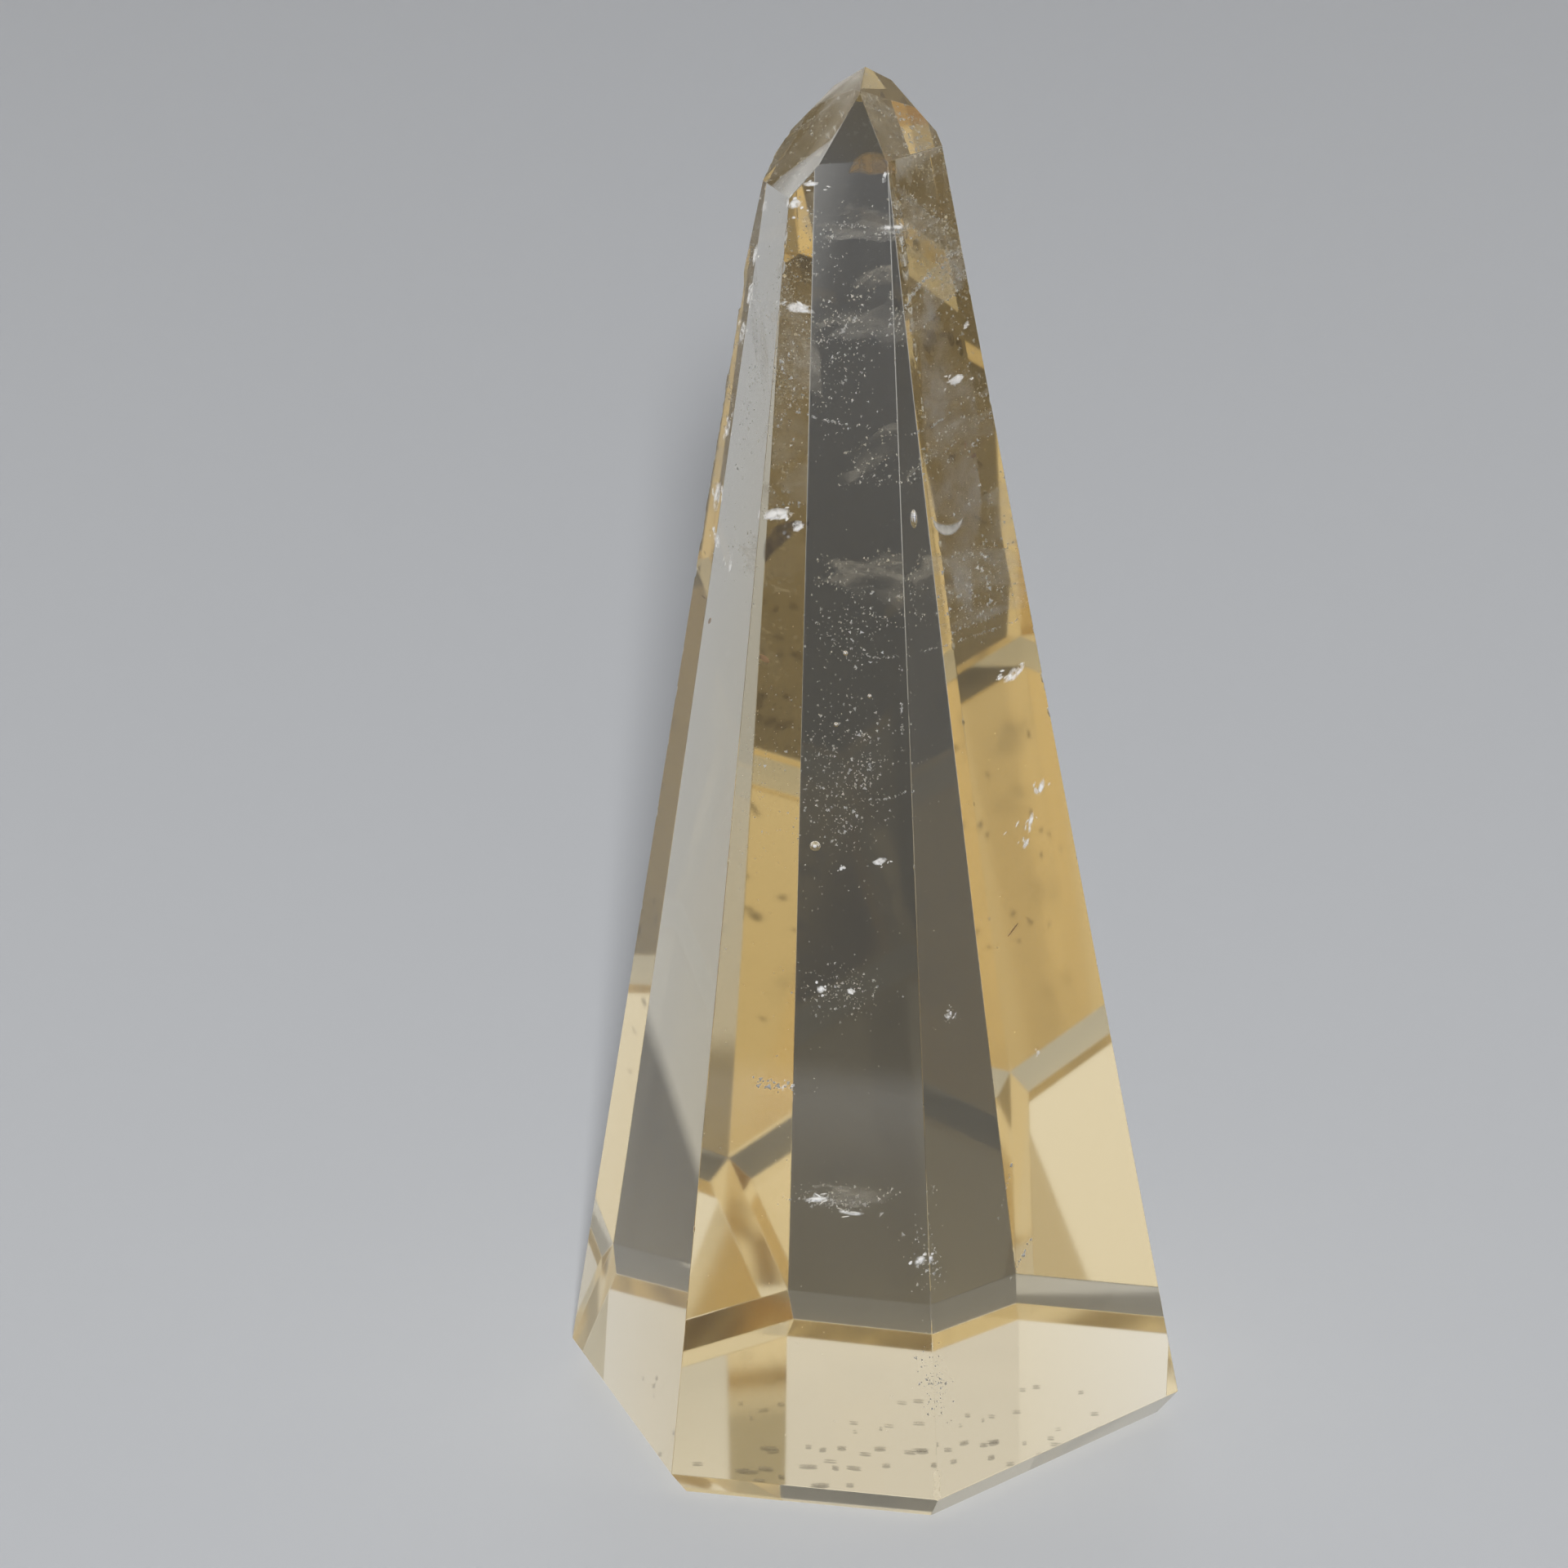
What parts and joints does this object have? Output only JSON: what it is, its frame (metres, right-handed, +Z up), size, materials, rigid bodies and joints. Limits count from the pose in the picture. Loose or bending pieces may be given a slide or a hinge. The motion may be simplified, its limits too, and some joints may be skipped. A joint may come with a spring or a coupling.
{
  "type": "citrine crystal point",
  "caption": "Clear pale smoky-yellow citrine polished as a tapering hexagonal tower with a faceted tip, standing upright on its flat cut base.",
  "frame": {"origin": "middle of the underside, at the level the stone rests on", "axes": "+Z up along the stone from base to tip, -Y towards the front, +X to the right seen from the front"},
  "size_m": [0.0314, 0.0332, 0.07],
  "materials": {
    "citrine": "polished, clear, pale smoky yellow"
  },
  "bodies": {
    "root": {"crystal_point": "citrine"}
  },
  "joints": []
}
